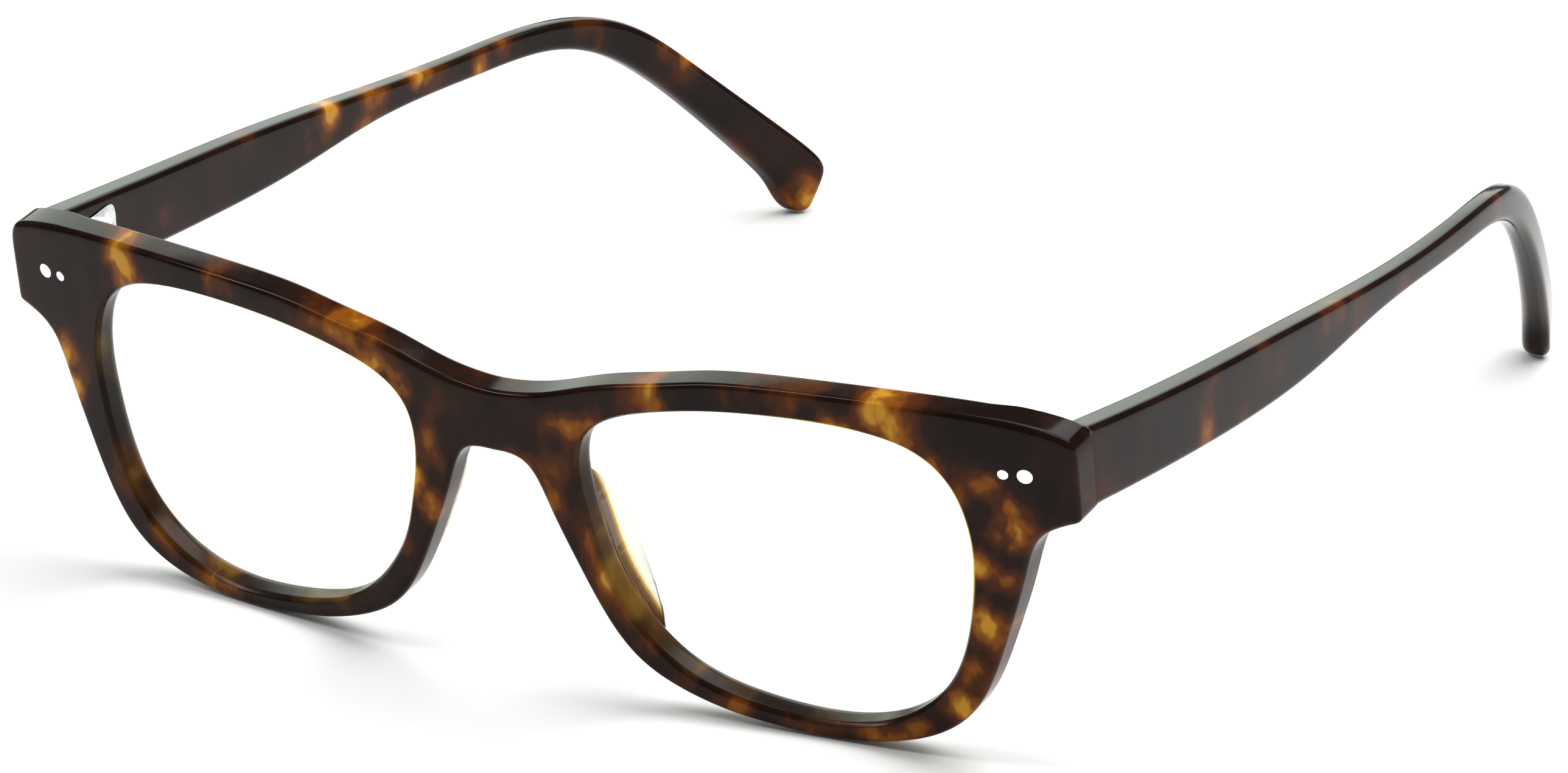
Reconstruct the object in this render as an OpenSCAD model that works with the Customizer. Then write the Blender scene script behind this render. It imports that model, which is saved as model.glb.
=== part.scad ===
// Acetate eyeglasses frame with folding temples.
// Left is the wearer's left (+X). The front faces -Y, the temples run towards +Y, +Z is up,
// and the frame stands on its two lower rims and its two temple tips at z = 0.

/* [Front] */
// Overall width of the front
front_w = 138; // [134:1:142]
// Thickness of the front plate
front_t = 4; // [3.6:0.1:4.4]
// Radius of the front's base curve
base_r = 310; // [270:10:350]
// Lean of the front, its top forward
front_tilt = 9.75; // [8.5:0.25:10.5]
// How far the nose pads stand behind the front
pad_rise = 4.8; // [4.2:0.2:6]

/* [Lenses] */
// Thickness of the clear lenses
lens_t = 1.6; // [1.2:0.1:1.8]
// How far a lens edge sits in the rim's groove
lens_bite = 0.7; // [0.4:0.1:1]
// Depth of a lens behind the front face
lens_set = 1.2; // [1:0.1:1.4]

/* [Temples] */
// Thickness of a temple at the hinge
temple_t = 3.6; // [3.4:0.1:4]
// Outward lean of the temples at the hinge, in degrees
temple_splay = 3.3; // [2.6:0.1:3.8]
// Gap between the front and a temple's butt end
butt_gap = 0.2; // [0.15:0.05:0.4]
// Width of the flat-sided core wires
wire_w = 1.2; // [0.9:0.1:1.4]

/* [Hinges] */
// Diameter of the hinge barrels
barrel_d = 3.2; // [3:0.1:3.4]
// Diameter of the hinge screws
screw_d = 1.4; // [1.2:0.1:1.6]
// Thickness of the hinge leaves and shields
leaf_t = 0.9; // [0.7:0.1:1]
// Diameter of the large front rivets
large_rivet_d = 1.8; // [1.6:0.1:2]
// Diameter of the small front rivets
small_rivet_d = 1.25; // [1.15:0.05:1.4]

/* [Hidden] */

acetate = "#33261c";
crystal = "#e6e9e4";
metal = "#c9ccd0";
plastic = "#ece8dc";

// Clearance around pieces that are glued, pressed or riveted in
fit_gap = 0.02;
// Clearance between moving pieces
run_gap = 0.3;
scale_w = front_w / 138;
half_w = front_w / 2;

// ---- Smooth outlines from a few control points ----

function blend(a, b, c, d, u) =
    (pow(1 - u, 3) * a + (3 * pow(u, 3) - 6 * u * u + 4) * b
    + (1 + 3 * u + 3 * u * u - 3 * pow(u, 3)) * c + pow(u, 3) * d) / 6;

function closed_curve(p, steps) = [
    for (i = [0 : len(p) - 1], k = [0 : steps - 1])
        blend(p[i], p[(i + 1) % len(p)], p[(i + 2) % len(p)], p[(i + 3) % len(p)], k / steps)
];

// An open curve starts on its first control point and ends on its last
function open_curve(p, steps) =
    let (n = len(p), q = concat([2 * p[0] - p[1]], p, [2 * p[n - 1] - p[n - 2]]))
    concat([for (i = [0 : n - 2], k = [0 : steps - 1])
        blend(q[i], q[i + 1], q[i + 2], q[i + 3], k / steps)], [p[n - 1]]);

function reversed(p) = [for (i = [len(p) - 1 : -1 : 0]) p[i]];

// Moves each point of a closed, anticlockwise outline outwards by d
function grown(p, d) = [
    for (i = [0 : len(p) - 1])
        let (n = len(p), t = p[(i + 1) % n] - p[(i + n - 1) % n])
        p[i] + d / norm(t) * [t.y, -t.x]
];

// ---- Front: outlines drawn flat, x sideways and y up the tilted front ----

curve_steps = 4;
brow_points = [
    [0, 36.4], [6.9, 37], [13.5, 39.9], [23.1, 41.3], [28.5, 43], [61.4, 42.8], [69, 40.2]
];
lower_points = [
    [69, 30.2], [67.2, 29.7], [63.6, 28], [62.4, 22.6], [59.8, 14.5], [56.3, 4.4], [49, 0.2],
    [39.3, -0.8], [30.8, 0.1], [25.4, 0.9], [16.6, 4.1], [12.3, 9.8], [8.9, 17.5], [6.5, 22.8],
    [4.6, 29], [0, 28.8]
];
opening_points = [
    [21.2, 37.8], [8.9, 34], [12.2, 18.9], [13.7, 13.5], [20.2, 5], [29.7, 2.1],
    [44.1, 0.8], [54.5, 7.7], [56.7, 20.9], [56.9, 28.9], [52.8, 39], [32.8, 39.5]
];

half_outline = scale_w * concat(open_curve(brow_points, curve_steps),
    open_curve(lower_points, curve_steps));
outline = concat(reversed(half_outline),
    [for (q = half_outline) if (q.x > 0.01) [-q.x, q.y]]);
opening = scale_w * closed_curve(opening_points, 6);

function sag(x) = base_r - sqrt(base_r * base_r - x * x);

front_lift = -min([for (q = outline) q.y * cos(front_tilt) + sag(q.x) * sin(front_tilt)]);
front_nose = min([for (q = outline) sag(q.x) * cos(front_tilt) - q.y * sin(front_tilt)]);

// ---- Temple outline seen from the side: x backwards and y up ----

temple_points = [
    [0, 41.6], [27.7, 39.5], [50.1, 38.7], [73.5, 36.8], [94, 35.9], [120.7, 36.4],
    [135.4, 24.6], [149.1, 13.1], [154.6, 8.2], [156.7, 5.6], [155, 2.6], [153.4, -1],
    [150.6, 1.3], [149.2, 4.5], [146.2, 7.9], [125.9, 27.2], [111.3, 32.7], [98.3, 32.4],
    [74.6, 33.4], [56.5, 30.5], [31.3, 30.6], [0, 31.2]
];
raw_temple = open_curve(temple_points, 3);
tip_lift = -min([for (q = raw_temple) q.y]);
temple_outline = reversed([for (q = raw_temple) q + [0, tip_lift]]);
tip_y = max([for (q = raw_temple) q.x]);

// Everything is drawn with the bridge at y = 0 and then centred over the floor
centre_y = (front_nose + tip_y) / 2;

// ---- Temple seen from above ----

temple_length = 172;
plan_step = 8;
plan = [for (y = [0 : plan_step : temple_length]) y];
curl_start = 100;
bow_drop = 7.4;
curl_drop = 5.4;
thinning = 0.9;
tip_thickening = 1.9;

function hundreds(y) = (y - hinge_y) / 100;
function curl(y) = max(0, (y - curl_start) / 50);
function outer_x(y) = half_w - 0.3 + 100 * tan(temple_splay) * hundreds(y)
    - bow_drop * pow(hundreds(y), 2) - curl_drop * pow(curl(y), 2);
function inner_x(y) = outer_x(y) - temple_t + thinning * hundreds(y)
    - tip_thickening * max(0, (y - curl_start) / 60);

// ---- Hinge: an upright axis just inside each temple ----

hinge_x = half_w - 8;
hinge_s = 35.7 * scale_w;
rivet_height = hinge_s;
large_rivet_x = 63.45 * scale_w;
small_rivet_x = 61.05 * scale_w;
axis_set = 3.8;
web_reach = axis_set + 0.7;
back_depth = sag(hinge_x) + front_t;
hinge_y = back_depth * cos(front_tilt) - hinge_s * sin(front_tilt) + axis_set;
hinge_z = back_depth * sin(front_tilt) + hinge_s * cos(front_tilt) + front_lift;
hinge_lean = atan((inner_x(hinge_y + 6) - inner_x(hinge_y)) / 6);

barrel_r = barrel_d / 2;
knuckle_top = 3.6;
knuckle_low = 1.35;
mid_knuckle = 1;
washer_t = 0.25;
washer_r = 1.45;
head_r = 1.2;
head_t = 0.6;
slot_w = 0.35;
slot_depth = 0.3;
leaf_points = [
    [-3.4, -3.2], [-3.4, 3.2], [-3, 3.6], [3, 3.6], [3.4, 3.2], [3.4, -3.2], [3, -3.6],
    [-3, -3.6]
];
shield_half = [
    [-1.2, 0], [-1.2, 2.3], [0, 2.5], [5.5, 2.7], [8.6, 3.4], [9.7, 2.5], [9.8, 0]
];
shield_drop = 0.75;
shield = reversed(closed_curve(concat(shield_half,
    [for (i = [len(shield_half) - 2 : -1 : 1]) [shield_half[i].x, -shield_half[i].y]]), 4));
shield_proud = 0.1;
shield_rivet_d = 1;
shield_rivet_l = 2.2;
shield_rivets = [[7.8, 1.9], [7.8, -1.9]];

// ---- Nose pads ----

pad_x = 9 * scale_w;
pad_mid = 17 * scale_w;
pad_half = 10;
pad_edge = 0.35;
pad_lean = 25;
pad_flare = 10;

// ---- Places ----

// Puts a shape drawn upright around the front's own axes in its tilted place
module tilted_front() {
    translate([0, -centre_y, front_lift]) rotate([front_tilt, 0, 0]) children();
}

// A sheet of the base curve between two depths, cut to a flat outline
module sheet(points, near, far) {
    reach = 40;
    intersection() {
        translate([0, reach, 0]) rotate([90, 0, 0]) linear_extrude(2 * reach) polygon(points);
        translate([0, base_r, -reach]) difference() {
            cylinder(r = base_r - near, h = 3 * reach, $fn = 720);
            translate([0, 0, -1]) cylinder(r = base_r - far, h = 3 * reach + 2, $fn = 720);
        }
    }
}

// Local axes on the front face: y runs into the plate, z up the tilted front
module on_front(x, s) {
    translate([0, base_r, 0]) rotate([0, 0, asin(x / base_r)]) translate([0, -base_r, s])
        children();
}

module at_hinge() {
    translate([hinge_x, hinge_y - centre_y, hinge_z]) children();
}

// Local axes on a temple's inner face: x into the temple, y along it
module on_temple() {
    translate([inner_x(hinge_y), hinge_y - centre_y, hinge_z]) rotate([0, 0, -hinge_lean])
        children();
}

module round_bar(r, low, high) {
    translate([0, 0, low]) cylinder(r = r, h = high - low, $fn = 64);
}

// ---- Front and what is fixed to it ----

module leaf(gap) {
    on_front(hinge_x, hinge_s) translate([0, front_t - leaf_t - gap, 0]) rotate([-90, 0, 0])
        linear_extrude(leaf_t + 2 * gap) polygon(grown(reversed(leaf_points), gap));
}

module front_rivet(x, d, gap) {
    on_front(x, rivet_height) rotate([-90, 0, 0])
        translate([0, 0, -gap]) cylinder(d = d + 2 * gap, h = front_t + 2 * gap, $fn = 48);
}

module front_rivets(gap) {
    front_rivet(large_rivet_x, large_rivet_d, gap);
    front_rivet(small_rivet_x, small_rivet_d, gap);
}

module frame_front() color(acetate) difference() {
    tilted_front() difference() {
        sheet(outline, 0, front_t);
        for (side = [0, 1]) mirror([side, 0, 0]) {
            sheet(opening, -1, front_t + 1);
            sheet(grown(opening, lens_bite + fit_gap), lens_set - fit_gap,
                lens_set + lens_t + fit_gap);
            leaf(fit_gap);
            front_rivets(fit_gap);
        }
    }
    for (side = [0, 1]) mirror([side, 0, 0]) at_hinge() {
        round_bar(barrel_r + run_gap, -knuckle_top - run_gap, knuckle_top + run_gap);
        for (up = [0, 1]) mirror([0, 0, up]) web(-barrel_r, knuckle_low, knuckle_top, fit_gap);
    }
}

module lens() tilted_front()
    sheet(grown(opening, lens_bite), lens_set, lens_set + lens_t);

module nose_pad() {
    bulge_r = (pad_half * pad_half + pad_rise * pad_rise) / (2 * pad_rise);
    tilted_front() intersection() {
        difference() {
            sheet(grown(outline, -pad_edge), front_t + fit_gap, front_t + pad_rise + 1);
            sheet(grown(opening, pad_edge), 0, front_t + pad_rise + 2);
        }
        translate([0, front_t + pad_rise - bulge_r, pad_mid]) rotate([0, 90, 0])
            cylinder(r = bulge_r, h = 2 * pad_x, $fn = 180);
        // the side that rests on the nose flares outwards
        translate([pad_x, front_t, pad_mid]) rotate([0, -pad_lean, 0])
            rotate([0, 0, -pad_flare]) translate([0, -half_w / 2, -half_w / 2]) cube(half_w);
    }
}

module large_rivet() tilted_front() front_rivet(large_rivet_x, large_rivet_d, 0);

module small_rivet() tilted_front() front_rivet(small_rivet_x, small_rivet_d, 0);

// The part of a front knuckle that joins it to its leaf
module web(x, low, high, gap) {
    translate([x - gap, -web_reach - gap, low - gap])
        cube([-x + 2 * gap, web_reach + gap, high - low + 2 * gap]);
}

module front_hinge() difference() {
    union() {
        tilted_front() leaf(0);
        at_hinge() for (up = [0, 1]) mirror([0, 0, up]) {
            round_bar(barrel_r, knuckle_low, knuckle_top);
            web(-barrel_r, knuckle_low, knuckle_top, 0);
        }
    }
    tilted_front() front_rivets(fit_gap);
    at_hinge() {
        round_bar(screw_d / 2 + fit_gap, -knuckle_top - 1, knuckle_top + 1);
        round_bar(head_r + fit_gap, knuckle_top - head_t - fit_gap, knuckle_top + 1);
    }
}

module hinge_washers() at_hinge() for (up = [0, 1]) mirror([0, 0, up])
    difference() {
        round_bar(washer_r, mid_knuckle + 0.05, mid_knuckle + 0.05 + washer_t);
        round_bar(screw_d / 2 + fit_gap, 0, knuckle_top);
    }

module hinge_screw() at_hinge() difference() {
    union() {
        round_bar(screw_d / 2, -knuckle_top, knuckle_top - head_t);
        round_bar(head_r, knuckle_top - head_t, knuckle_top);
    }
    translate([-head_r - 1, -slot_w / 2, knuckle_top - slot_depth])
        cube([2 * head_r + 2, slot_w, 1]);
}

// ---- Temple and what is fixed to it ----

module shield_plate(gap) {
    on_temple() translate([-shield_proud - gap, 0, -shield_drop]) rotate([90, 0, 90])
        linear_extrude(shield_proud + leaf_t + 2 * gap) polygon(grown(shield, gap));
}

module shield_pins(gap) {
    on_temple() for (q = shield_rivets) translate([-shield_proud - gap, q.x, q.y - shield_drop])
        rotate([0, 90, 0])
            cylinder(d = shield_rivet_d + 2 * gap, h = shield_rivet_l + 2 * gap, $fn = 32);
}

// The wire, flat in section, runs down the middle of the blade and turns down with it
wire_route = open_curve([
    [22.8, 35.5], [60.8, 34.9], [92.8, 34.5], [108.8, 34.5], [118.8, 32.6], [129.6, 26.2],
    [138.3, 18.7], [146, 11.9]
], 3);

// A closed band of width w along an open line
function band(p, w) =
    let (n = len(p), side = [
        for (i = [0 : n - 1])
            let (t = p[min(i + 1, n - 1)] - p[max(i - 1, 0)]) w / 2 / norm(t) * [-t.y, t.x]
    ])
    concat(p + side, reversed(p - side));

module wire(w) {
    middle = [for (y = plan) [(outer_x(y) + inner_x(y)) / 2, y]];
    intersection() {
        translate([0, -centre_y, tip_lift]) rotate([90, 0, 90]) linear_extrude(front_w)
            polygon(band(wire_route, w));
        translate([0, -centre_y, -1]) linear_extrude(2 * half_w) polygon(band(middle, w));
    }
}

module temple_blank() {
    plan_outline = concat([for (y = plan) [outer_x(y), y]],
        reversed([for (y = plan) [inner_x(y), y]]));
    intersection() {
        translate([0, -centre_y, 0]) rotate([90, 0, 90]) linear_extrude(front_w)
            polygon(temple_outline);
        translate([0, -centre_y, -1]) linear_extrude(2 * half_w) polygon(plan_outline);
        // the butt end follows the back of the front
        tilted_front() translate([0, base_r, -half_w])
            cylinder(r = base_r - front_t - butt_gap, h = 3 * half_w, $fn = 720);
    }
}

module temple() difference() {
    temple_blank();
    shield_plate(fit_gap);
    shield_pins(fit_gap);
    wire(wire_w + 2 * fit_gap);
    at_hinge() round_bar(barrel_r + run_gap, -2 * knuckle_top, 2 * knuckle_top);
}

module temple_hinge() difference() {
    union() {
        shield_plate(0);
        at_hinge() {
            round_bar(barrel_r, -mid_knuckle, mid_knuckle);
            translate([0, 0, -mid_knuckle])
                cube([inner_x(hinge_y) - hinge_x + leaf_t / 2, barrel_r, 2 * mid_knuckle]);
        }
    }
    shield_pins(fit_gap);
    at_hinge() round_bar(screw_d / 2 + 0.05, -knuckle_top, knuckle_top);
}

module temple_rivets() shield_pins(0);

module core_wire() wire(wire_w);

// ---- One module for each piece ----

module lens_left() color(crystal) lens();
module lens_right() color(crystal) mirror([1, 0, 0]) lens();
module nose_pad_left() color(crystal) nose_pad();
module nose_pad_right() color(crystal) mirror([1, 0, 0]) nose_pad();
module large_rivet_left() color(metal) large_rivet();
module large_rivet_right() color(metal) mirror([1, 0, 0]) large_rivet();
module small_rivet_left() color(metal) small_rivet();
module small_rivet_right() color(metal) mirror([1, 0, 0]) small_rivet();
module front_hinge_left() color(metal) front_hinge();
module front_hinge_right() color(metal) mirror([1, 0, 0]) front_hinge();
module hinge_washers_left() color(plastic) hinge_washers();
module hinge_washers_right() color(plastic) mirror([1, 0, 0]) hinge_washers();
module hinge_screw_left() color(metal) hinge_screw();
module hinge_screw_right() color(metal) mirror([1, 0, 0]) hinge_screw();
module temple_left() color(acetate) temple();
module temple_right() color(acetate) mirror([1, 0, 0]) temple();
module temple_hinge_left() color(metal) temple_hinge();
module temple_hinge_right() color(metal) mirror([1, 0, 0]) temple_hinge();
module temple_rivets_left() color(metal) temple_rivets();
module temple_rivets_right() color(metal) mirror([1, 0, 0]) temple_rivets();
module core_wire_left() color(metal) core_wire();
module core_wire_right() color(metal) mirror([1, 0, 0]) core_wire();

frame_front();
lens_left();
lens_right();
nose_pad_left();
nose_pad_right();
large_rivet_left();
large_rivet_right();
small_rivet_left();
small_rivet_right();
front_hinge_left();
front_hinge_right();
hinge_washers_left();
hinge_washers_right();
hinge_screw_left();
hinge_screw_right();
temple_left();
temple_right();
temple_hinge_left();
temple_hinge_right();
temple_rivets_left();
temple_rivets_right();
core_wire_left();
core_wire_right();
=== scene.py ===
"""Eyeglasses frame: polished looks around the CAD part, on a pale floor at the photo's angle."""

import math

import bmesh
import bpy
import numpy as np
from mathutils import Matrix, Vector
from mathutils.geometry import delaunay_2d_cdt


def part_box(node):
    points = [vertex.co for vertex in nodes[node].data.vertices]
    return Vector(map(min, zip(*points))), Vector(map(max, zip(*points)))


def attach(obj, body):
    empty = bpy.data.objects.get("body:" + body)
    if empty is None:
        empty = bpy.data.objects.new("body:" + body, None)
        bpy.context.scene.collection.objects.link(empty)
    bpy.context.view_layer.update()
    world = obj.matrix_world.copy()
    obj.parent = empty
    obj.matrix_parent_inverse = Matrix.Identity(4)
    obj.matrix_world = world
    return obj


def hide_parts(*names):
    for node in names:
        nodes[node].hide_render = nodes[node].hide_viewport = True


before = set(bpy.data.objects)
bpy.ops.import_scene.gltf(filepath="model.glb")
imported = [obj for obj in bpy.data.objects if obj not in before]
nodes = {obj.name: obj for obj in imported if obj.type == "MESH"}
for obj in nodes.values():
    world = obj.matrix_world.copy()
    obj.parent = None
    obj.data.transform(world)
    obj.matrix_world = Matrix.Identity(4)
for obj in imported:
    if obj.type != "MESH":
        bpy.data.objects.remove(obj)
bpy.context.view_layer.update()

# ---------------------------------------------------------------- sizes in mm

HALF_W = 69.0
FRONT_T = 4.0
BASE_R = 310.0
TILT = math.radians(9.75)
LENS_SET, LENS_T, LENS_BITE = 1.2, 1.6, 0.7
TEMPLE_T = 3.6
SPLAY = math.tan(math.radians(3.3))
BUTT_GAP = 0.2
HINGE_X, HINGE_S, AXIS_SET = 61.0, 35.7, 3.8
PAD_MID, PAD_HALF, PAD_RISE = 17.0, 10.0, 4.7
SNUG = 0.03  # the looks stay this far inside the CAD outlines
BUTT_X = HALF_W - 2.4  # where a temple's butt is drawn flat
BUTT_BLEND = 6.0  # how far along the temple its butt turns to meet the bent front
TEMPLE_BOW, TIP_CURL = 7.4, 5.4  # how the temples curve in, along their length and at the tips
LARGE_RIVET = (63.45, 0.89)  # distance from the middle, radius
SMALL_RIVET = (61.05, 0.62)

# Control points of the smooth outlines

BROW = [(0, 36.4), (6.9, 37), (13.5, 39.9), (23.1, 41.3), (28.5, 43), (61.4, 42.8), (69, 40.2)]
LOWER = [
    (69, 30.2), (67.2, 29.7), (63.6, 28), (62.4, 22.6), (59.8, 14.5), (56.3, 4.4), (49, 0.2),
    (39.3, -0.8), (30.8, 0.1), (25.4, 0.9), (16.6, 4.1), (12.3, 9.8), (8.9, 17.5), (6.5, 22.8),
    (4.6, 29), (0, 28.8),
]
OPENING = [
    (21.2, 37.8), (8.9, 34), (12.2, 18.9), (13.7, 13.5), (20.2, 5), (29.7, 2.1),
    (44.1, 0.8), (54.5, 7.7), (56.7, 20.9), (56.9, 28.9), (52.8, 39), (32.8, 39.5),
]
TEMPLE = [
    (0, 41.6), (27.7, 39.5), (50.1, 38.7), (73.5, 36.8), (94, 35.9), (120.7, 36.4),
    (135.4, 24.6), (149.1, 13.1), (154.6, 8.2), (156.7, 5.6), (155, 2.6), (153.4, -1),
    (150.6, 1.3), (149.2, 4.5), (146.2, 7.9), (125.9, 27.2), (111.3, 32.7), (98.3, 32.4),
    (74.6, 33.4), (56.5, 30.5), (31.3, 30.6), (0, 31.9),
]
# Where amber shows through the dark acetate: x, y, half width, half height, strength
AMBER_FRONT = [
    (-51, 40, 1.3, 2.4, 1), (-49.5, 38.5, 1.2, 1.8, 0.8), (-62, 24.5, 1.2, 2.4, 0.8),
    (-61, 22, 1.2, 1.6, 0.9), (-36, 41.5, 1.5, 1.2, 0.45), (-23.5, 41, 1.5, 1.5, 0.5),
    (-18.5, 39.5, 2.5, 1.3, 0.7), (-15.5, 36.5, 2, 1.3, 0.7), (-12, 34, 1.2, 2, 0.8),
    (-11, 23.5, 1, 2.5, 0.9), (-9.5, 20, 1.2, 1.5, 0.8), (-13.5, 14.5, 1.3, 2, 0.45),
    (-42, 1.5, 2, 1.3, 1), (-55, 13, 1, 2.5, 0.5), (-50.5, 5, 2, 1.5, 0.45),
    (-8.5, 29, 1.2, 2.5, 0.5), (4, 28.5, 2, 1, 0.4), (7, 24.5, 1, 2, 0.5), (10, 34, 2, 1, 0.6),
    (21, 39.5, 1.3, 1.8, 0.7), (12, 34.5, 2, 1.2, 0.6), (32.5, 41.5, 1.5, 1.3, 0.35),
    (37, 41, 1.5, 1.3, 0.4), (47.5, 42, 1.3, 1.8, 0.9), (49.5, 38.5, 1.1, 2.6, 1),
    (43, 39, 1.8, 1, 0.7), (53.5, 35.5, 1.5, 1.3, 0.7), (55.5, 32.5, 1.2, 1.8, 0.6),
    (59, 34, 1.6, 1.1, 0.7), (61.5, 31, 1.1, 1.8, 0.7), (61.5, 28.3, 1.6, 1.3, 1),
    (58, 24, 1.3, 1.2, 0.9), (60.5, 22.5, 1.2, 1.3, 0.6), (58, 16.5, 1.5, 1.7, 1),
    (56, 10, 1.3, 2, 0.5), (54.5, 6, 1.7, 1.3, 1), (45.5, 1, 2.5, 1, 0.8), (49, 2.5, 1.6, 1, 0.7),
    (27.5, 2, 2, 1, 0.5), (21.5, 3.5, 1.5, 1.2, 0.4), (35.5, 1, 2, 1, 0.45), (12, 21, 0.9, 3, 0.8),
    (8, 27.5, 1.2, 1.2, 0.35), (13, 16, 0.9, 2, 0.7), (15, 12, 1, 2, 0.4), (17.5, 8, 1.2, 1.5, 0.4),
]
AMBER_TEMPLE = {
    "left": [
        (31, 32, 1, 1.8, 0.8), (32, 37, 1.2, 1.5, 0.3), (39, 31.5, 1.2, 1.5, 0.35), (44, 40, 1.2, 1, 0.3),
        (60, 36, 1, 1, 0.3), (63, 37, 1.5, 1.5, 0.4), (81, 34, 2, 1, 0.4), (111, 35, 1.5, 2, 0.35),
    ],
    "right": [
        (27, 33, 2, 1.5, 0.12), (46, 38, 1.2, 1.5, 0.35), (58, 34, 1.5, 1.5, 0.35), (64, 37, 1.3, 2, 0.8),
        (71, 33.5, 3, 0.8, 0.5), (73, 37, 1.5, 2, 0.85), (83, 36, 2.2, 1.3, 0.8), (95, 34, 1.3, 1.5, 0.7),
        (100, 36, 1.2, 1.5, 0.35), (118, 32, 1.2, 2, 0.3), (134, 27, 3, 1.6, 0.9), (153, 3, 2, 2, 0.9),
    ],
}
LEAF = [
    (-3.4, -3.2), (-3, -3.6), (3, -3.6), (3.4, -3.2), (3.4, 3.2), (3, 3.6), (-3, 3.6), (-3.4, 3.2),
]


# ---------------------------------------------------------------- outlines

def basis(u):
    return np.stack([(1 - u) ** 3, 3 * u**3 - 6 * u * u + 4, 1 + 3 * u + 3 * u * u - 3 * u**3, u**3], -1) / 6


def spline(points, steps, closed):
    p = np.array(points, float)
    if closed:
        p = np.vstack([p, p[:3]])
    else:
        p = np.vstack([2 * p[0] - p[1], p, 2 * p[-1] - p[-2]])
    b = basis(np.arange(steps) / steps)
    curve = np.vstack([b @ p[i:i + 4] for i in range(len(p) - 3)])
    return curve if closed else np.vstack([curve, p[-2]])


def resample(loop, step):
    q = np.vstack([loop, loop[:1]])
    run = np.r_[0, np.cumsum(np.linalg.norm(np.diff(q, axis=0), axis=1))]
    at = np.linspace(0, run[-1], max(8, int(round(run[-1] / step))) + 1)[:-1]
    return np.stack([np.interp(at, run, q[:, 0]), np.interp(at, run, q[:, 1])], 1)


def soften(loop, passes):
    for _ in range(passes):
        loop = 0.25 * np.roll(loop, 1, 0) + 0.5 * loop + 0.25 * np.roll(loop, -1, 0)
    return loop


def moved(loop, d):
    """Moves an anticlockwise loop outwards by d, which may differ along it."""
    t = np.roll(loop, -1, 0) - np.roll(loop, 1, 0)
    n = np.stack([t[:, 1], -t[:, 0]], 1) / np.linalg.norm(t, axis=1)[:, None]
    return loop + n * np.reshape(d, (-1, 1))


def inside(p, loop):
    x, y = p[:, 0:1], p[:, 1:2]
    a, b = loop, np.roll(loop, -1, 0)
    crosses = (a[None, :, 1] > y) != (b[None, :, 1] > y)
    rise = np.where(b[:, 1] == a[:, 1], 1e-9, b[:, 1] - a[:, 1])
    at = a[None, :, 0] + (y - a[None, :, 1]) * (b[:, 0] - a[:, 0])[None, :] / rise[None, :]
    return (np.sum(crosses & (x < at), axis=1) % 2) == 1


def away(p, loop):
    """Distance from each point to the nearest corner of a loop."""
    out = np.empty(len(p))
    for i in range(0, len(p), 2000):
        out[i:i + 2000] = np.sqrt(((p[i:i + 2000, None] - loop[None]) ** 2).sum(2)).min(1)
    return out


def smooth(x, a, b):
    t = np.clip((x - a) / (b - a), 0, 1)
    return t * t * (3 - 2 * t)


# ---------------------------------------------------------------- places

def sag(x, depth):
    return BASE_R - np.sqrt((BASE_R - depth) ** 2 - x * x)


hinge_low, hinge_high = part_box("hinge_screw_left")
hinge = (hinge_low + hinge_high) / 2
back = float(sag(HINGE_X, 0)) + FRONT_T
HINGE_Y = back * math.cos(TILT) - HINGE_S * math.sin(TILT) + AXIS_SET
CENTRE_Y = HINGE_Y - hinge.y * 1000
LIFT = hinge.z * 1000 - back * math.sin(TILT) - HINGE_S * math.cos(TILT)


def on_front(p, depth):
    y = sag(p[:, 0], depth)
    return np.stack([
        p[:, 0],
        y * math.cos(TILT) - p[:, 1] * math.sin(TILT) - CENTRE_Y,
        y * math.sin(TILT) + p[:, 1] * math.cos(TILT) + LIFT,
    ], 1) / 1000


def outer_x(y):
    h = (y - HINGE_Y) / 100
    curl = np.maximum(0, (y - 100) / 50)
    return HALF_W - 0.3 + 100 * SPLAY * h - TEMPLE_BOW * h * h - TIP_CURL * curl ** 2


def thick(y):
    return TEMPLE_T - 0.9 * (y - HINGE_Y) / 100 + 1.9 * np.maximum(0, (y - 100) / 60)


def butt(x, z):
    """Where a temple's butt end meets the back of the front."""
    y = sag(x, FRONT_T + BUTT_GAP + SNUG)
    s = (z - LIFT - y * math.sin(TILT)) / math.cos(TILT)
    return y * math.cos(TILT) - s * math.sin(TILT)


def on_temple(p, depth):
    y, z = p[:, 0], p[:, 1]
    x = outer_x(y) - depth
    start = butt(BUTT_X, z)
    y = y + (butt(x, z) - start) * np.clip(1 - (y - start) / BUTT_BLEND, 0, 1)
    return np.stack([x, y - CENTRE_Y, z], 1) / 1000


# ---------------------------------------------------------------- mesh building

def finish_mesh(bm, name, mirrored, weld=2e-6):
    bmesh.ops.remove_doubles(bm, verts=bm.verts, dist=weld)
    if mirrored:
        bmesh.ops.scale(bm, vec=(-1, 1, 1), verts=bm.verts)
    bmesh.ops.dissolve_degenerate(bm, edges=bm.edges, dist=1e-7)
    bmesh.ops.recalc_face_normals(bm, faces=bm.faces)
    mesh = bpy.data.meshes.new(name)
    bm.to_mesh(mesh)
    bm.free()
    mesh.shade_smooth()
    piece = bpy.data.objects.new(name, mesh)
    bpy.context.scene.collection.objects.link(piece)
    weighted = piece.modifiers.new("even_shading", "WEIGHTED_NORMAL")
    weighted.weight = 90
    weighted.keep_sharp = False
    return piece


def new_bmesh():
    bm = bmesh.new()
    return bm, [bm.verts.layers.float.new(name) for name in ("edge", "amber", "glow")]


def add_verts(bm, layers, places, marks):
    verts = [bm.verts.new(Vector(c)) for c in places]
    for layer, values in zip(layers, marks):
        for v, a in zip(verts, values):
            v[layer] = float(a)
    return verts


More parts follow.
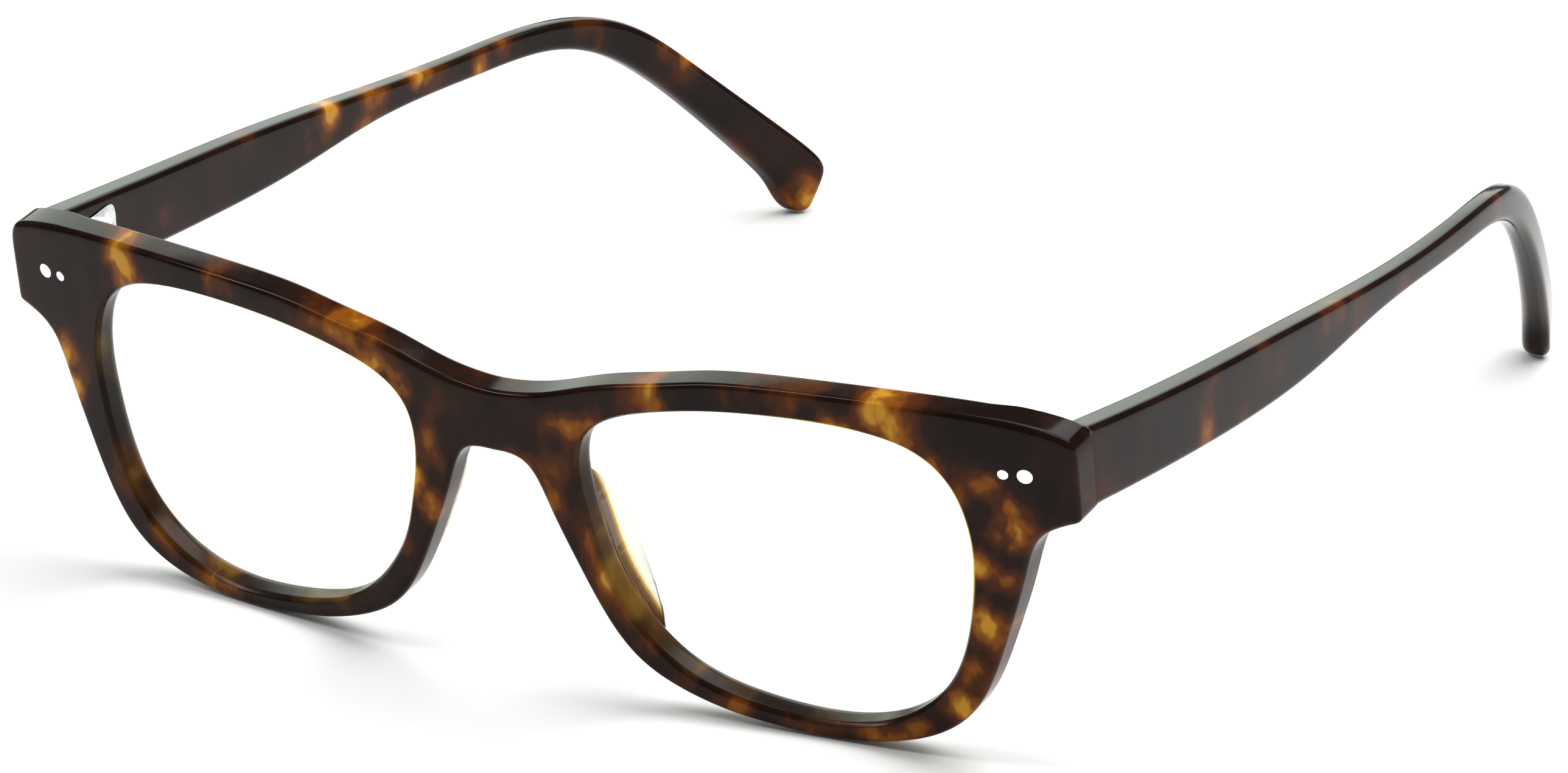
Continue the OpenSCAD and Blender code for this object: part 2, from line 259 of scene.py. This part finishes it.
def add_strip(bm, layers, rings, marks=()):
    """Joins closed rings of points into a band of quads."""
    marks = marks or [()] * len(rings)
    rows = [add_verts(bm, layers, ring, mark) for ring, mark in zip(rings, marks)]
    for a, b in zip(rows, rows[1:]):
        for i in range(len(a)):
            j = (i + 1) % len(a)
            bm.faces.new((a[i], a[j], b[j], b[i]))
    return rows


def add_cap(bm, layers, loops, depth_at, place, grid, mark):
    """Triangulates the area inside the first loop and outside the others."""
    low, high = loops[0].min(0), loops[0].max(0)
    xs, ys = np.arange(low[0], high[0], grid), np.arange(low[1], high[1], grid * 0.866)
    gx, gy = np.meshgrid(xs, ys)
    gx[1::2] += grid / 2
    inner = np.stack([gx.ravel(), gy.ravel()], 1)
    keep = inside(inner, loops[0])
    for loop in loops[1:]:
        keep &= ~inside(inner, loop)
    inner = inner[keep]
    for loop in loops:
        inner = inner[away(inner, loop) > 0.45 * grid]
    points, edges = list(map(Vector, np.vstack(loops + [inner]).tolist())), []
    start = 0
    for loop in loops:
        n = len(loop)
        edges += [(start + i, start + (i + 1) % n) for i in range(n)]
        start += n
    out, _, faces, _, _, _ = delaunay_2d_cdt(points, edges, [], 0, 1e-6)
    out = np.array([tuple(v) for v in out])
    faces = np.array([f for f in faces if len(f) == 3])
    mid = out[faces].mean(1)
    keep = inside(mid, loops[0])
    for loop in loops[1:]:
        keep &= ~inside(mid, loop)
    faces = faces[keep]
    depth = depth_at(out)
    verts = add_verts(bm, layers, place(out, depth), mark(out, depth))
    for f in faces.tolist():
        bm.faces.new([verts[i] for i in f])
    for v in verts:
        if not v.link_faces:
            bm.verts.remove(v)


def round_rings(front_r, back_r, depth, steps=5):
    """(inset, depth) pairs around an edge, from the front face to the back face."""
    turn = np.linspace(0, math.pi / 2, steps)
    rings = [(front_r * (1 - math.sin(a)), front_r * (1 - math.cos(a))) for a in turn]
    rings += [(back_r * (1 - math.sin(a)), depth - back_r * (1 - math.cos(a))) for a in turn[::-1]]
    return rings


def plate(name, outer, holes, place, grid, back_depth, mark, pockets=(), mirrored=False):
    """A plate with rounded edges: outer and each hole are (loop, rings); depth 0 is the front."""
    bm, layers = new_bmesh()
    front_loops, back_loops = [], []
    for sign, (loop, rings) in [(-1, outer)] + [(1, h) for h in holes]:
        flat = [(moved(loop, sign * inset), np.broadcast_to(d, len(loop))) for inset, d in rings]
        add_strip(bm, layers, [place(p, d) for p, d in flat], [mark(p, d) for p, d in flat])
        front_loops.append(flat[0][0])
        back_loops.append(flat[-1][0])
    for loop, floor in pockets:
        depths = [back_depth(loop), np.full(len(loop), floor)]
        rows = add_strip(bm, layers, [place(loop, d) for d in depths])
        bm.faces.new(rows[-1])
        back_loops.append(loop)
    add_cap(bm, layers, front_loops, lambda p: np.zeros(len(p)), place, grid, mark)
    add_cap(bm, layers, back_loops, back_depth, place, grid, mark)
    return finish_mesh(bm, name, mirrored)


def no_mark(p, depth):
    return ()


def amber(p, patches):
    """How strongly amber shows at each point of an outline."""
    glow = np.zeros(len(p))
    for x, y, wide, tall, strength in patches:
        far = ((p[:, 0] - x) / wide) ** 2 + ((p[:, 1] - y) / tall) ** 2
        glow = np.maximum(glow, strength * np.exp(-0.33 * far))
    return glow


# ---------------------------------------------------------------- the pieces

half = np.vstack([spline(BROW, 12, False), spline(LOWER, 12, False)])
outline = np.vstack([half[::-1], (half * (-1, 1))[1:-1]])
outline = resample(moved(resample(outline, 0.4), -SNUG), 0.4)
top_corner = smooth(outline[:, 1], 32, 36)[:, None]
outline = top_corner * soften(outline, 24) + (1 - top_corner) * soften(outline, 2)
opening = resample(spline(OPENING, 12, True), 0.4)
opening_right = (opening * (-1, 1))[::-1]


def opening_mark(p, depth):
    """Marks the openings' walls, the amber patches, and the thin edge that light comes through, where a glow
    is painted on.
    """
    near = np.minimum(away(p, opening), away(p, opening_right))
    centre = np.where(p[:, 0] > 0, 33.5, -33.5)
    angle = np.degrees(np.arctan2(p[:, 1] - 20.5, p[:, 0] - centre))
    lit = smooth(angle, -15, 15) * (1 - smooth(angle, 62, 100))
    # glow: painted light, a glow painted on the upper and outer front edge of each opening, standing in for
    # light shining through the thin acetate
    glow = lit * (1 - smooth(near, 0.35, 0.55)) * (1 - smooth(depth, 0.6, 0.9))
    return 1 - smooth(near, 0.2, 0.5), amber(p, AMBER_FRONT), glow


rim = 1 - smooth(np.abs(outline[:, 0]), 58, 62)
outer_rings = round_rings(0.85 - 0.15 * rim, 0.08 + 0.6 * rim, FRONT_T - SNUG, 7)
wall_rings = [
    (0.62, 0), (0.5, 0.005), (0.42, 0.03), (0.34, 0.1), (0.1, 0.45), (0.02, 0.58), (0, 0.75),
    (0, 2.3), (0.06, 2.8), (0.24, 3.27), (0.54, 3.65), (0.9, 3.89), (1.25, FRONT_T - SNUG),
]
leaf = resample(np.array(LEAF, float) * 1.01 + (HINGE_X, HINGE_S), 0.5)
leaf_right = (leaf * (-1, 1))[::-1]
front = plate(
    "front_acetate", (outline, outer_rings), [(opening, wall_rings), (opening_right, wall_rings)],
    on_front, 1.0, lambda p: np.full(len(p), FRONT_T - SNUG), opening_mark,
    pockets=[(leaf, 3.05), (leaf_right, 3.05)],
)

raw = spline(TEMPLE, 10, False)
TIP_LIFT = SNUG - raw[:, 1].min()
raw = raw + (0, TIP_LIFT)
raw = raw[raw[:, 0] > butt(BUTT_X, raw[:, 1]) + 0.05]
top_z, low_z = raw[0, 1] + 0.02, raw[-1, 1]
face_z = np.linspace(low_z, top_z, 12)
face = np.stack([butt(BUTT_X, face_z), face_z], 1)
side = resample(np.vstack([raw[::-1], face[::-1]]), 0.35)
area = np.sum(side[:, 0] * np.roll(side[:, 1], -1) - np.roll(side[:, 0], -1) * side[:, 1])
side = side if area > 0 else side[::-1]
side = soften(moved(side, -SNUG), 4)
from_butt = side[:, 0] - butt(BUTT_X, side[:, 1])
soft_r = 0.08 + 0.75 * smooth(from_butt, 0.05, 0.8) + 0.5 * smooth(side[:, 0], 95, 135)


def blade_back(p):
    in_shield = smooth(p[:, 0], 3, 7) * (1 - smooth(p[:, 0], 18, 26))
    return thick(p[:, 0]) - 0.02 - 0.08 * in_shield


def blade_rings():
    turn = np.linspace(0, math.pi / 2, 7)
    deep = blade_back(side)
    rings = [(soft_r * (1 - math.sin(a)), SNUG + soft_r * (1 - math.cos(a))) for a in turn]
    return rings + [(soft_r * (1 - math.sin(a)), deep - soft_r * (1 - math.cos(a))) for a in turn[::-1]]


def blade_place(p, depth):
    return on_temple(p, np.maximum(depth, SNUG))


pieces = []
for side_name, flip in (("left", False), ("right", True)):
    blade = plate(
        f"temple_blade_{side_name}", (side, blade_rings()), [], blade_place, 1.0, blade_back,
        lambda p, d, s=side_name: (np.zeros(len(p)), amber(p, AMBER_TEMPLE[s])), mirrored=flip,
    )
    lens_loop = resample(moved(opening, LENS_BITE - 0.05), 0.7)
    lens = plate(
        f"lens_sheet_{side_name}",
        (lens_loop, [(0.05, 0), (0, 0.05), (0, LENS_T - 0.05), (0.05, LENS_T)]), [],
        lambda p, d: on_front(p, d + LENS_SET), 2.2, lambda p: np.full(len(p), LENS_T),
        no_mark, mirrored=flip,
    )
    pieces.append((side_name, blade, lens))


def nose_pad(name, mirrored):
    """A clear pad lofted along the nose side of a rim, flaring away from the nose."""
    bm, layers = new_bmesh()
    dense_out = spline(LOWER, 40, False)
    dense_in = spline(OPENING, 40, True)
    rows, marks = [], []
    for u in np.linspace(-0.985, 0.985, 49):
        s = PAD_MID + PAD_HALF * u
        near = dense_out[(np.abs(dense_out[:, 1] - s) < 0.25) & (dense_out[:, 0] < 30)][:, 0].min()
        far = dense_in[(np.abs(dense_in[:, 1] - s) < 0.25)][:, 0].min()
        taper = math.sqrt(1 - u**4)
        mid, wide = (near + far) / 2, max(0.2, (far - near) / 2 - 0.45) * taper
        rise = PAD_RISE * (1 - u * u) ** 0.75
        ring = []
        for a in np.linspace(0, math.pi, 25):
            across = math.copysign(abs(math.cos(a)) ** 0.7, math.cos(a))
            up = rise * math.sin(a) ** 0.8
            ring.append((mid - wide * across + up * (0.1 + 0.06 * across), s, FRONT_T + up))
        ring = [(ring[0][0], s, FRONT_T - 0.35)] + ring + [(ring[-1][0], s, FRONT_T - 0.35)]
        ring = np.array(ring)
        rows.append(on_front(ring[:, :2], ring[:, 2]))
        up = ring[:, 2] - FRONT_T
        # The "amber" layer here is 1 at the pad's root: it drives the dark rim seen through the clear pad,
        # painted into the pad's colour.
        marks.append((np.zeros(len(up)), 1 - smooth(up, 0.3, 2.4)))
    made = add_strip(bm, layers, rows, marks)
    bm.faces.new(made[0])
    bm.faces.new(made[-1])
    return finish_mesh(bm, name, mirrored, 1e-8)


def rivet(name, x, r, mirrored):
    """A rivet pin, its polished head a hair proud of the front."""
    bm, layers = new_bmesh()
    turn = np.linspace(0, 2 * math.pi, 48, endpoint=False)
    profile = [
        (0.12, -0.05), (0.4, -0.049), (0.68, -0.044), (0.86, -0.034), (0.95, -0.018),
        (1, 0.01), (1, 1), (1, 3), (1, 3.99), (0.94, 4.02), (0.7, 4.03), (0.12, 4.035),
    ]
    rings = []
    for f, depth in profile:
        p = np.stack([x + f * r * np.cos(turn), HINGE_S + f * r * np.sin(turn)], 1)
        rings.append(on_front(p, np.full(len(p), depth)))
    rows = add_strip(bm, layers, rings)
    bm.faces.new(rows[0])
    bm.faces.new(rows[-1])
    return finish_mesh(bm, name, mirrored, 1e-8)


# ---------------------------------------------------------------- finishes

class Look:
    """A node material built in a few words."""

    def __init__(self, name):
        self.material = bpy.data.materials.new(name)
        self.material.use_nodes = True
        self.tree = self.material.node_tree
        self.tree.nodes.clear()
        self.out = self.tree.nodes.new("ShaderNodeOutputMaterial")
        coord = self.tree.nodes.new("ShaderNodeTexCoord")
        to_mm = {0: coord.outputs["Object"], 3: (1000, 1000, 1000)}
        self.mm = self.add("ShaderNodeMapping", to_mm).outputs[0]

    def add(self, kind, inputs=(), **settings):
        node = self.tree.nodes.new(kind)
        for key, value in settings.items():
            setattr(node, key, value)
        for key, value in dict(inputs).items():
            if isinstance(value, bpy.types.NodeSocket):
                self.tree.links.new(value, node.inputs[key])
            else:
                node.inputs[key].default_value = value
        return node

    def stretched(self, scale, turn=(0, 0, 0)):
        return self.add("ShaderNodeMapping", {0: self.mm, 2: turn, 3: scale}).outputs[0]

    def noise(self, scale, detail=2.0, vector=None, distortion=0.0, rough=0.5):
        return self.add("ShaderNodeTexNoise", {
            "Vector": vector or self.mm, "Scale": scale, "Detail": detail, "Roughness": rough,
            "Distortion": distortion,
        }).outputs[0]

    def ramp(self, value, stops):
        node = self.add("ShaderNodeValToRGB", {0: value})
        ramp = node.color_ramp
        ramp.interpolation = "EASE"
        while len(ramp.elements) < len(stops):
            ramp.elements.new(0.5)
        for element, (at, colour) in zip(ramp.elements, stops):
            element.position = at
            element.color = (*colour, 1)
        return node.outputs[0]

    def span(self, value, low, high, to_low, to_high):
        inputs = {0: value, 1: low, 2: high, 3: to_low, 4: to_high}
        return self.add("ShaderNodeMapRange", inputs).outputs[0]

    def math(self, operation, a, b):
        return self.add("ShaderNodeMath", {0: a, 1: b}, operation=operation).outputs[0]

    def bump(self, height, strength, distance):
        inputs = {"Height": height, "Strength": strength, "Distance": distance}
        return self.add("ShaderNodeBump", inputs).outputs[0]

    def surface(self, inputs):
        shader = self.add("ShaderNodeBsdfPrincipled", inputs)
        self.tree.links.new(shader.outputs[0], self.out.inputs[0])
        return shader


def tortoise():
    """Dark polished acetate: "amber" marks its bright patches, "edge" its sawn opening walls and
    "glow" the thin edge where light comes through, which gets a painted amber glow (emission, not a lamp)."""
    look = Look("tortoise_acetate")
    marks = {
        name: look.add("ShaderNodeAttribute", attribute_name=name).outputs["Fac"]
        for name in ("edge", "amber", "glow")
    }
    field = look.stretched((1.3, 0.8, 0.8), (0.25, 0.2, 0.0))
    blotch = look.noise(0.14, 1.5, field, 0.4, 0.45)
    ragged = look.span(look.noise(0.3, 2.0, field, 0.3), 0.3, 0.65, 0.45, 1.15)
    patches = look.math("MULTIPLY", marks["amber"], ragged)
    value = look.math("ADD", patches, look.span(blotch, 0.40, 0.75, 0.0, 0.36))
    colour = look.ramp(value, [
        (0.0, (0.0095, 0.0042, 0.0030)), (0.20, (0.0190, 0.0066, 0.0036)),
        (0.42, (0.072, 0.0175, 0.0030)), (0.66, (0.230, 0.0660, 0.0040)), (0.98, (0.56, 0.265, 0.022)),
    ])
    wall_tone = look.ramp(blotch, [
        (0.42, (0.012, 0.006, 0.004)), (0.55, (0.042, 0.021, 0.007)), (0.70, (0.150, 0.085, 0.018)),
    ])
    wall = look.math("MULTIPLY", marks["edge"], 0.8)
    mixed = {"Factor": wall, 6: colour, 7: wall_tone}
    colour = look.add("ShaderNodeMix", mixed, data_type="RGBA").outputs[2]
    polish = look.span(look.noise(0.9, 3.0), 0.3, 0.7, 0.08, 0.14)
    # Patches of the painted edge glow.
    painted_glow_patches = look.span(look.noise(0.14, 2.0), 0.35, 0.6, 0.35, 1)
    look.surface({
        "Base Color": colour,
        "Roughness": look.math("ADD", polish, look.math("MULTIPLY", marks["edge"], 0.12)),
        "Normal": look.bump(look.noise(0.3, 1.0), 0.08, 0.00005),
        "Specular IOR Level": 0.11,
        # Painted light: an amber emission glow on the thin opening edges, standing in for light shining
        # through them.
        "Emission Color": (0.80, 0.62, 0.06, 1),
        "Emission Strength": look.math("MULTIPLY", marks["glow"], painted_glow_patches),
    })
    return look.material


def metal(name, dark, light, rough, grain, bump=0.08):
    look = Look(name)
    tone = look.noise(0.8, 3.0)
    look.surface({
        "Base Color": look.ramp(tone, [(0.3, dark), (0.7, light)]),
        "Metallic": 1.0,
        "Roughness": look.span(look.noise(grain, 2.0), 0.3, 0.7, rough * 0.75, rough * 1.3),
        "Normal": look.bump(look.noise(grain, 2.0), bump, 0.00003),
    })
    return look.material


def clear_lens():
    look = Look("clear_lens")
    tint = look.ramp(look.noise(0.04, 1.0), [
        (0.35, (0.980, 0.990, 0.985)), (0.65, (0.995, 0.998, 0.996)),
    ])
    rough = look.span(look.noise(0.2, 2.0), 0.3, 0.7, 0.01, 0.03)
    normal = look.bump(look.noise(0.05, 1.0), 0.05, 0.0001)
    through = look.add("ShaderNodeBsdfTransparent", {0: tint})
    gloss = look.add("ShaderNodeBsdfGlossy", {0: tint, 1: rough, "Normal": normal})
    factor = look.math("MULTIPLY", look.add("ShaderNodeFresnel", {0: 1.5}).outputs[0], 0.05)
    mix = look.add("ShaderNodeMixShader", {0: factor, 1: through.outputs[0], 2: gloss.outputs[0]})
    look.tree.links.new(mix.outputs[0], look.out.inputs[0])
    return look.material


def crystal():
    """Clear acetate, with the dark rim seen through it at its glued root painted into its colour, marked
    "amber".
    """
    look = Look("crystal_acetate")
    root = look.add("ShaderNodeAttribute", attribute_name="amber").outputs["Fac"]
    clear = look.ramp(look.noise(0.3, 2.0), [
        (0.35, (0.90, 0.90, 0.83)), (0.65, (0.96, 0.96, 0.93)),
    ])
    # Painted refraction: the dark rim seen through the clear pad, painted from dark brown to yellow near the
    # root.
    painted_rim_refraction = look.ramp(root, [
        (0.05, (1.0, 1.0, 0.97)), (0.35, (0.95, 0.74, 0.20)),
        (0.62, (0.32, 0.10, 0.010)), (0.90, (0.03, 0.012, 0.006)),
    ])
    mixed = {"Factor": 1.0, 6: clear, 7: painted_rim_refraction}
    tone = look.add("ShaderNodeMix", mixed, data_type="RGBA", blend_type="MULTIPLY")
    look.surface({
        "Base Color": tone.outputs[2],
        "Roughness": look.span(look.noise(0.6, 2.0), 0.3, 0.7, 0.03, 0.09),
        "Transmission Weight": 0.92,
        "IOR": 1.48,
        "Normal": look.bump(look.noise(0.4, 2.0), 0.1, 0.00008),
    })
    return look.material


def washer_plastic():
    look = Look("washer_plastic")
    look.surface({
        "Base Color": look.ramp(look.noise(1.5, 2.0), [
            (0.3, (0.74, 0.72, 0.64)), (0.7, (0.82, 0.80, 0.73)),
        ]),
        "Roughness": look.span(look.noise(3.0, 2.0), 0.3, 0.7, 0.38, 0.55),
        "Normal": look.bump(look.noise(4.0, 2.0), 0.2, 0.00003),
    })
    return look.material


acetate = tortoise()
lens_look, pad_look, washer_look = clear_lens(), crystal(), washer_plastic()
rivet_look = metal("rivet_metal", (0.80, 0.80, 0.80), (0.90, 0.90, 0.90), 0.16, 2.0)
hinge_look = metal("hinge_metal", (0.42, 0.43, 0.44), (0.74, 0.74, 0.73), 0.14, 0.6, 0.6)
screw_look = metal("screw_metal", (0.50, 0.50, 0.51), (0.64, 0.64, 0.64), 0.3, 4.0, 0.15)
wire_look = metal("wire_metal", (0.55, 0.52, 0.45), (0.68, 0.65, 0.57), 0.32, 3.0, 0.12)


def dress(piece, look, body, node):
    piece.data.materials.clear()
    piece.data.materials.append(look)
    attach(piece, body)
    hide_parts(node)


dress(front, acetate, "front", "frame_front")
for side_name, blade, lens in pieces:
    flip = side_name == "right"
    dress(blade, acetate, f"{side_name}_temple", f"temple_{side_name}")
    dress(lens, lens_look, "front", f"lens_{side_name}")
    pad = nose_pad(f"nose_pad_clear_{side_name}", flip)
    dress(pad, pad_look, "front", f"nose_pad_{side_name}")
    big = rivet(f"rivet_head_large_{side_name}", *LARGE_RIVET, flip)
    dress(big, rivet_look, "front", f"large_rivet_{side_name}")
    small = rivet(f"rivet_head_small_{side_name}", *SMALL_RIVET, flip)
    dress(small, rivet_look, "front", f"small_rivet_{side_name}")

for prefix, look, width in (
    ("front_hinge", hinge_look, 0.12), ("temple_hinge", hinge_look, 0.08),
    ("temple_rivets", rivet_look, 0.05), ("hinge_screw", screw_look, 0.08),
    ("hinge_washers", washer_look, 0.04), ("core_wire", wire_look, 0.1),
):
    for side_name in ("left", "right"):
        node = nodes[f"{prefix}_{side_name}"]
        node.data.materials.clear()
        node.data.materials.append(look)
        bevel = node.modifiers.new("worn_edges", "BEVEL")
        bevel.width = width / 1000
        bevel.segments = 2
        bevel.limit_method = "ANGLE"
        bevel.angle_limit = math.radians(40)
        bevel.harden_normals = True

# ---------------------------------------------------------------- floor, light, camera

CAMERA_LENS, CAMERA_SENSOR = 170.39, 36
CAMERA_FROM_HINGE = (0.349538, -0.652192, 0.282479)
CAMERA_RIGHT = (0.86295, 0.50528, 0.00322)
CAMERA_UP = (-0.17917, 0.30001, 0.93696)
CAMERA_BACK = (0.47246, -0.80913, 0.34942)

floor_mesh = bpy.data.meshes.new("floor")
floor_mesh.from_pydata([(-6, -6, 0), (6, -6, 0), (6, 6, 0), (-6, 6, 0)], [], [(0, 1, 2, 3)])
floor = bpy.data.objects.new("floor", floor_mesh)
bpy.context.scene.collection.objects.link(floor)
floor_look = Look("pale_floor")
floor_look.surface({
    "Base Color": floor_look.ramp(floor_look.noise(0.002, 2.0), [
        (0.3, (0.93, 0.93, 0.93)), (0.7, (0.95, 0.95, 0.95)),
    ]),
    "Roughness": 0.6,
    "Specular IOR Level": 0.1,
})
floor.data.materials.append(floor_look.material)

world = bpy.data.worlds.new("studio")
bpy.context.scene.world = world
world.use_nodes = True
world.node_tree.nodes["Background"].inputs[0].default_value = (0.95, 0.98, 0.96, 1)
world.node_tree.nodes["Background"].inputs[1].default_value = 0.16


def softbox(name, place, aim, size, radiance, tint=(1, 1, 1)):
    light = bpy.data.lights.new(name, "AREA")
    light.shape = "RECTANGLE"
    light.size, light.size_y = size
    light.energy = radiance * math.pi * size[0] * size[1]
    light.color = tint
    lamp = bpy.data.objects.new(name, light)
    lamp.location = place
    lamp.rotation_euler = (Vector(aim) - Vector(place)).to_track_quat("-Z", "Y").to_euler()
    bpy.context.scene.collection.objects.link(lamp)


softbox("overhead", (0.35, 0.35, 1.15), (0, 0, 0), (1.3, 1.1), 4.4)
softbox("edge_strip", (-0.62, -0.45, 1.05), (0, 0, 0), (0.16, 0.8), 14.0)
softbox("back_panel", (-0.95, 1.5, 0.75), (0, 0, 0.05), (1.9, 1.0), 2.3, (0.88, 1.0, 0.90))

camera_data = bpy.data.cameras.new("camera")
camera_data.sensor_width = CAMERA_SENSOR
camera_data.lens = CAMERA_LENS
camera_data.clip_end = 50
camera = bpy.data.objects.new("camera", camera_data)
turn = Matrix((CAMERA_RIGHT, CAMERA_UP, CAMERA_BACK)).transposed().to_4x4()
camera.matrix_world = Matrix.Translation(hinge + Vector(CAMERA_FROM_HINGE)) @ turn
bpy.context.scene.collection.objects.link(camera)
bpy.context.scene.camera = camera
bpy.context.scene.view_settings.view_transform = "Standard"
